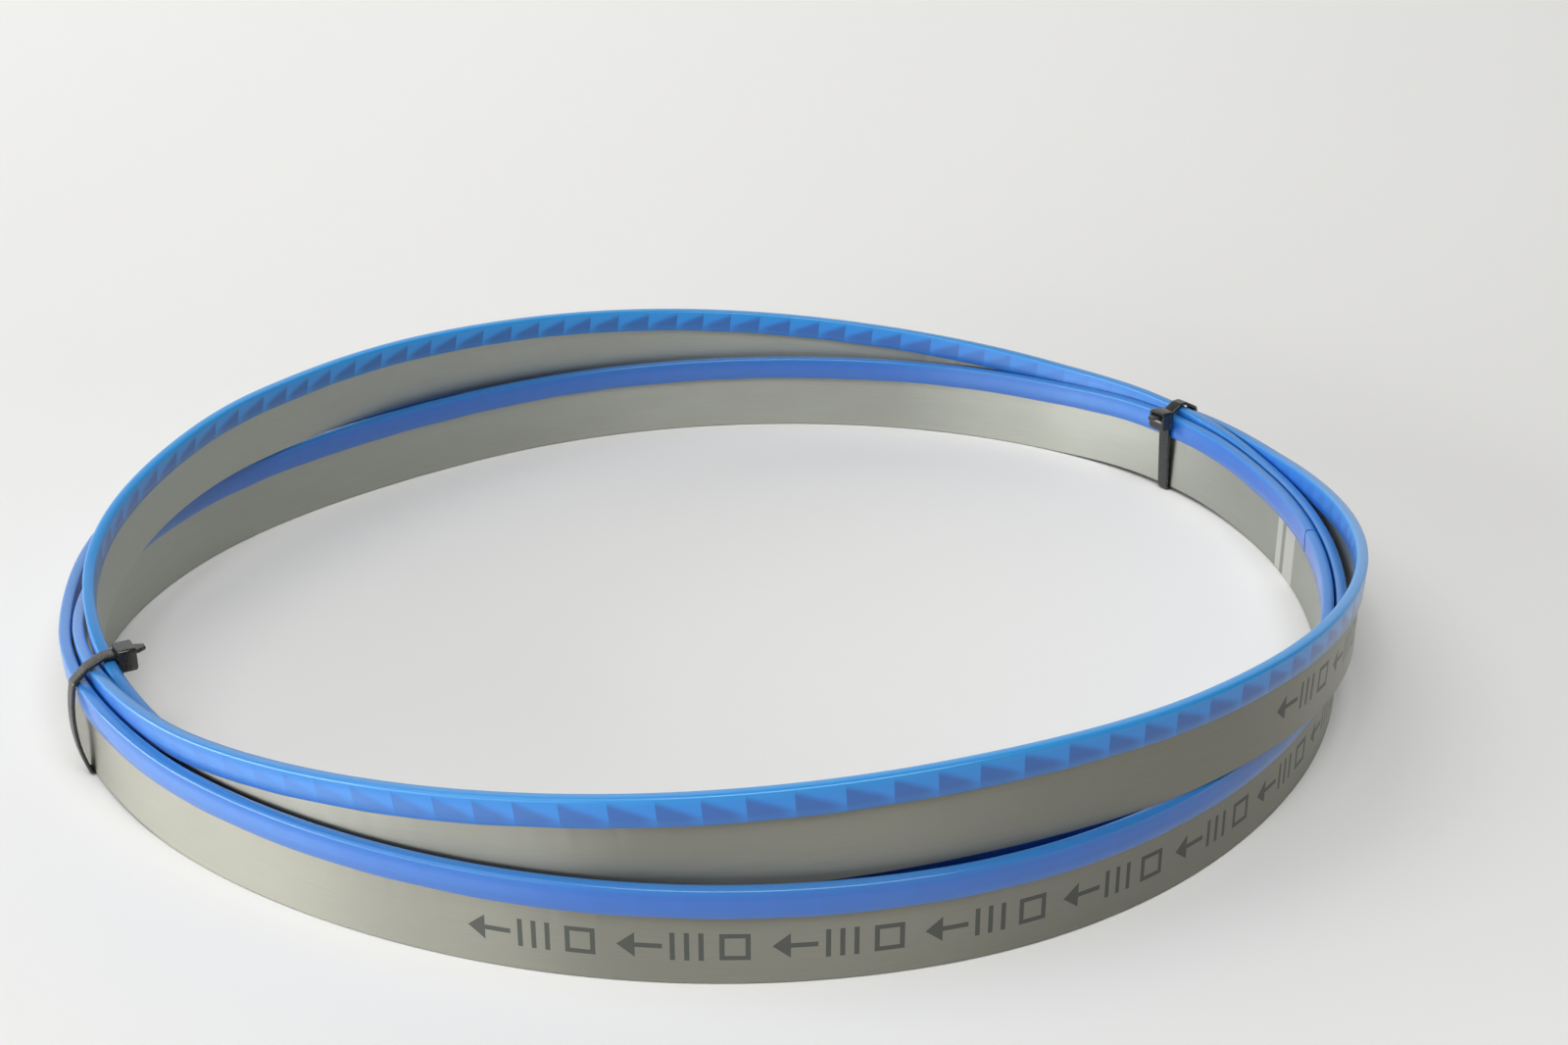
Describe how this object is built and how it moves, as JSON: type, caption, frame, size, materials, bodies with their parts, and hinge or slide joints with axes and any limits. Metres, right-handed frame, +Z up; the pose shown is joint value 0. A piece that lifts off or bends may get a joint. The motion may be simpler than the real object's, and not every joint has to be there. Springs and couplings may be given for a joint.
{
  "type": "coiled band saw blade",
  "caption": "Endless toothed steel band coiled flat in crossing turns, its teeth covered by a U-shaped plastic guard strip and the coil held by black cable ties.",
  "frame": {"origin": "under the middle of the coil's outline, on the plane it lies on", "axes": "+Z up, the way the teeth point; +X to the right and +Y away, seen from the side where the coil's upper and lower strands cross"},
  "size_m": [0.415, 0.391, 0.0573],
  "materials": {
    "blade_steel": "rolled spring steel, fine lengthwise brushing, uncoated",
    "guard_plastic": "extruded soft plastic, glossy and slightly see-through",
    "tie_nylon": "moulded nylon, satin"
  },
  "bodies": {
    "root": {"blade_band": "blade_steel", "tooth_guard": "guard_plastic", "cable_tie_left": "tie_nylon", "cable_tie_rear": "tie_nylon"}
  },
  "joints": []
}
